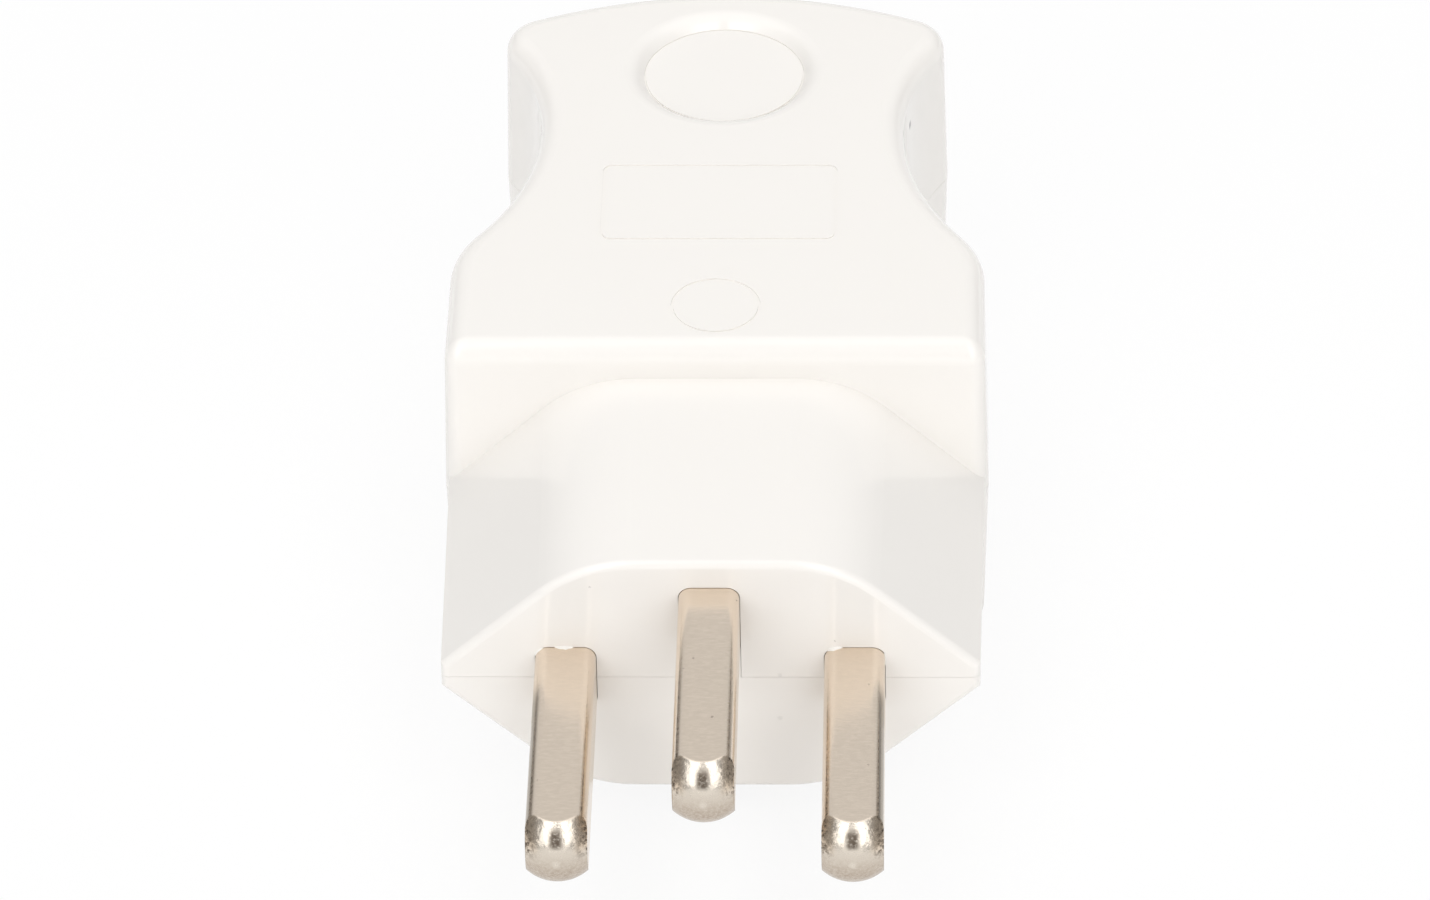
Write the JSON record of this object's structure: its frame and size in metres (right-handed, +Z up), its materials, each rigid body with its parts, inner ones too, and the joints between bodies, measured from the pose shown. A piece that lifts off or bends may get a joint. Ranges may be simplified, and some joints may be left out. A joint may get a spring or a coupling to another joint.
{
  "type": "type j plug",
  "caption": "Rewirable white mains plug with an hourglass grip, a hexagonal nose, flat nickel-plated pins with domed tips and a round cord entry at the back.",
  "frame": {"origin": "middle of the flat face that meets the socket, on the parting plane and on the line through the live and neutral pins", "axes": "+Y back along the grip to the cord entry, so the pins point along -Y; +X from the live pin to the neutral pin; +Z up, to the side that carries the dish and the earth pin's offset"},
  "size_m": [0.0368, 0.0814, 0.024],
  "materials": {
    "white_plastic": "glossy moulded",
    "clamp_plastic": "moulded",
    "nickel_plated_brass": "nickel plated",
    "steel": "zinc plated"
  },
  "bodies": {
    "root": {"upper_shell": "white_plastic", "lower_shell": "white_plastic", "live_pin": "nickel_plated_brass", "neutral_pin": "nickel_plated_brass", "earth_pin": "nickel_plated_brass", "cord_clamp": "clamp_plastic", "terminal_screws": "steel", "cord_clamp_screws": "steel", "housing_screws": "steel"}
  },
  "joints": []
}
